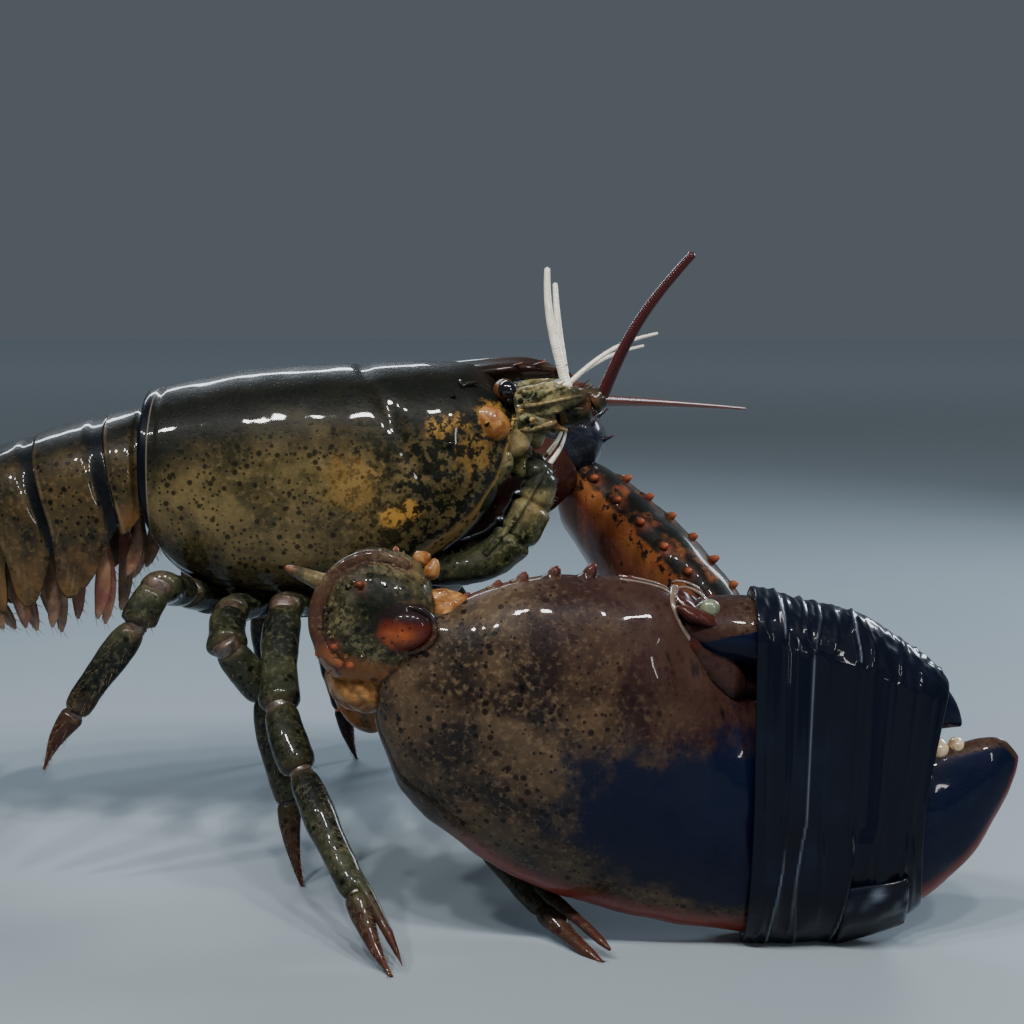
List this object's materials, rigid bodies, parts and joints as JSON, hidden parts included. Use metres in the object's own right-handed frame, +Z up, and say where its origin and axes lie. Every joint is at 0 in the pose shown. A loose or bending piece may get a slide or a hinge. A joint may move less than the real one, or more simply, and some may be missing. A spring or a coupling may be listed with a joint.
{
  "type": "american lobster",
  "caption": "Life-size still model of an American lobster standing on its legs, the heavy claw in front wrapped in black rubber.",
  "frame": {"origin": "centre of the underside of the bounding box, on the floor that it stands on", "axes": "+X towards the head, +Y to the animal's left, +Z up"},
  "size_m": [0.511, 0.301, 0.2763],
  "materials": {
    "shell": "wet glossy olive-brown shell with dark speckles",
    "tail_shell": "wet glossy dark olive shell",
    "claw_shell": "wet glossy brown-black shell",
    "pale_claw_shell": "wet orange-red shell",
    "leg_shell": "wet dark green-black shell",
    "mouth_shell": "mottled olive and yellow shell",
    "underside": "tan skin and thin shell",
    "eye": "polished black",
    "eyestalk": "satin tan",
    "feeler": "dark red, finely ringed",
    "pale_feeler": "cream, satin",
    "rubber": "wet black rubber, creased"
  },
  "bodies": {
    "root": {"antenna_base_left": "mouth_shell", "antenna_base_right": "mouth_shell", "antenna_left": "feeler", "antenna_right": "feeler", "antennule_left": "pale_feeler", "antennule_right": "pale_feeler", "carapace": "shell", "carpus_left": "shell", "carpus_right": "shell", "claw_band": "rubber", "claw_band_end": "rubber", "eye_left": "eye", "eye_right": "eye", "eyestalk_left": "eyestalk", "eyestalk_right": "eyestalk", "finger_left": "pale_claw_shell", "finger_right": "claw_shell", "ischium_left": "shell", "ischium_right": "shell", "leg_1_left_lower": "leg_shell", "leg_1_left_upper": "leg_shell", "leg_1_right_lower": "leg_shell", "leg_1_right_upper": "leg_shell", "leg_2_left_lower": "leg_shell", "leg_2_left_upper": "leg_shell", "leg_2_right_lower": "leg_shell", "leg_2_right_upper": "leg_shell", "leg_3_left_lower": "leg_shell", "leg_3_left_upper": "leg_shell", "leg_3_right_lower": "leg_shell", "leg_3_right_upper": "leg_shell", "leg_4_left_lower": "leg_shell", "leg_4_left_upper": "leg_shell", "leg_4_right_lower": "leg_shell", "leg_4_right_upper": "leg_shell", "maxilliped_left": "mouth_shell", "maxilliped_right": "mouth_shell", "merus_left": "shell", "merus_right": "shell", "mouthparts": "mouth_shell", "palm_left": "pale_claw_shell", "palm_right": "claw_shell", "somite_1": "tail_shell", "somite_2": "tail_shell", "somite_3": "tail_shell", "somite_4": "tail_shell", "somite_5": "tail_shell", "somite_6": "tail_shell", "sternum": "underside", "telson": "tail_shell", "uropod_inner_left": "tail_shell", "uropod_inner_right": "tail_shell", "uropod_outer_left": "tail_shell", "uropod_outer_right": "tail_shell"}
  },
  "joints": []
}
